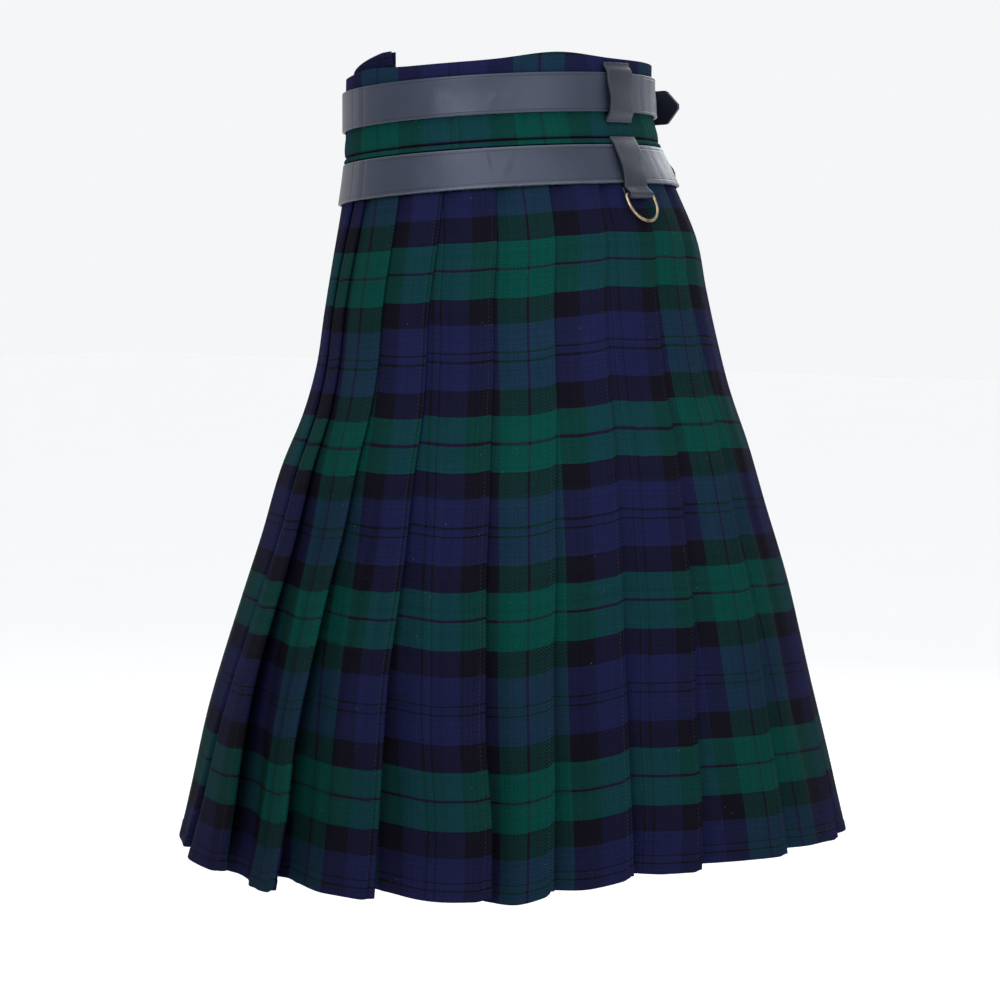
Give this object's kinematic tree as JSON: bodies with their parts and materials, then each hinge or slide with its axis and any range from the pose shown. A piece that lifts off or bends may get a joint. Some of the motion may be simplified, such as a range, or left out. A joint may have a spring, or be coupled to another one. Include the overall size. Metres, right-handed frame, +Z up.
{
  "type": "scottish kilt",
  "caption": "Knee-length tartan kilt in its worn form: flat aprons in front, knife pleats round the back, a smooth waistband, leather straps with buckles at the right hip and a D-ring.",
  "frame": {"origin": "centre of the waist, at the height of the upper strap, where the kilt is held", "axes": "+Z up; the wearer faces -Y, so the pleats are on the +Y side; +X is the wearer's left"},
  "size_m": [0.5512, 0.4835, 0.5914],
  "materials": {
    "tartan_cloth": "twill weave in navy, green and black checks",
    "band_cloth": "the same twill weave on the waistbands",
    "black_leather": "smooth, soft sheen",
    "aged_brass": "aged, worn"
  },
  "bodies": {
    "kilt": {"outer_apron": "tartan_cloth", "pleats_left": "tartan_cloth", "pleats_back": "tartan_cloth", "pleats_right": "tartan_cloth", "under_apron": "tartan_cloth", "waistband": "band_cloth", "under_waistband": "band_cloth", "upper_strap": "black_leather", "lower_strap": "black_leather", "upper_keeper": "black_leather", "lower_keeper": "black_leather", "upper_apron_strap": "black_leather", "lower_apron_strap": "black_leather", "upper_buckle": "aged_brass", "lower_buckle": "aged_brass", "upper_buckle_prong": "aged_brass", "lower_buckle_prong": "aged_brass"},
    "d_ring": {"d_ring": "aged_brass"}
  },
  "joints": [
    {"name": "d_ring_swing", "type": "hinge", "parent": "kilt", "child": "d_ring", "pos_m": [0.00796, 0.13396, -0.06505], "axis": [0.9992, -0.0398, 0], "range_deg": [0, 100]}
  ]
}
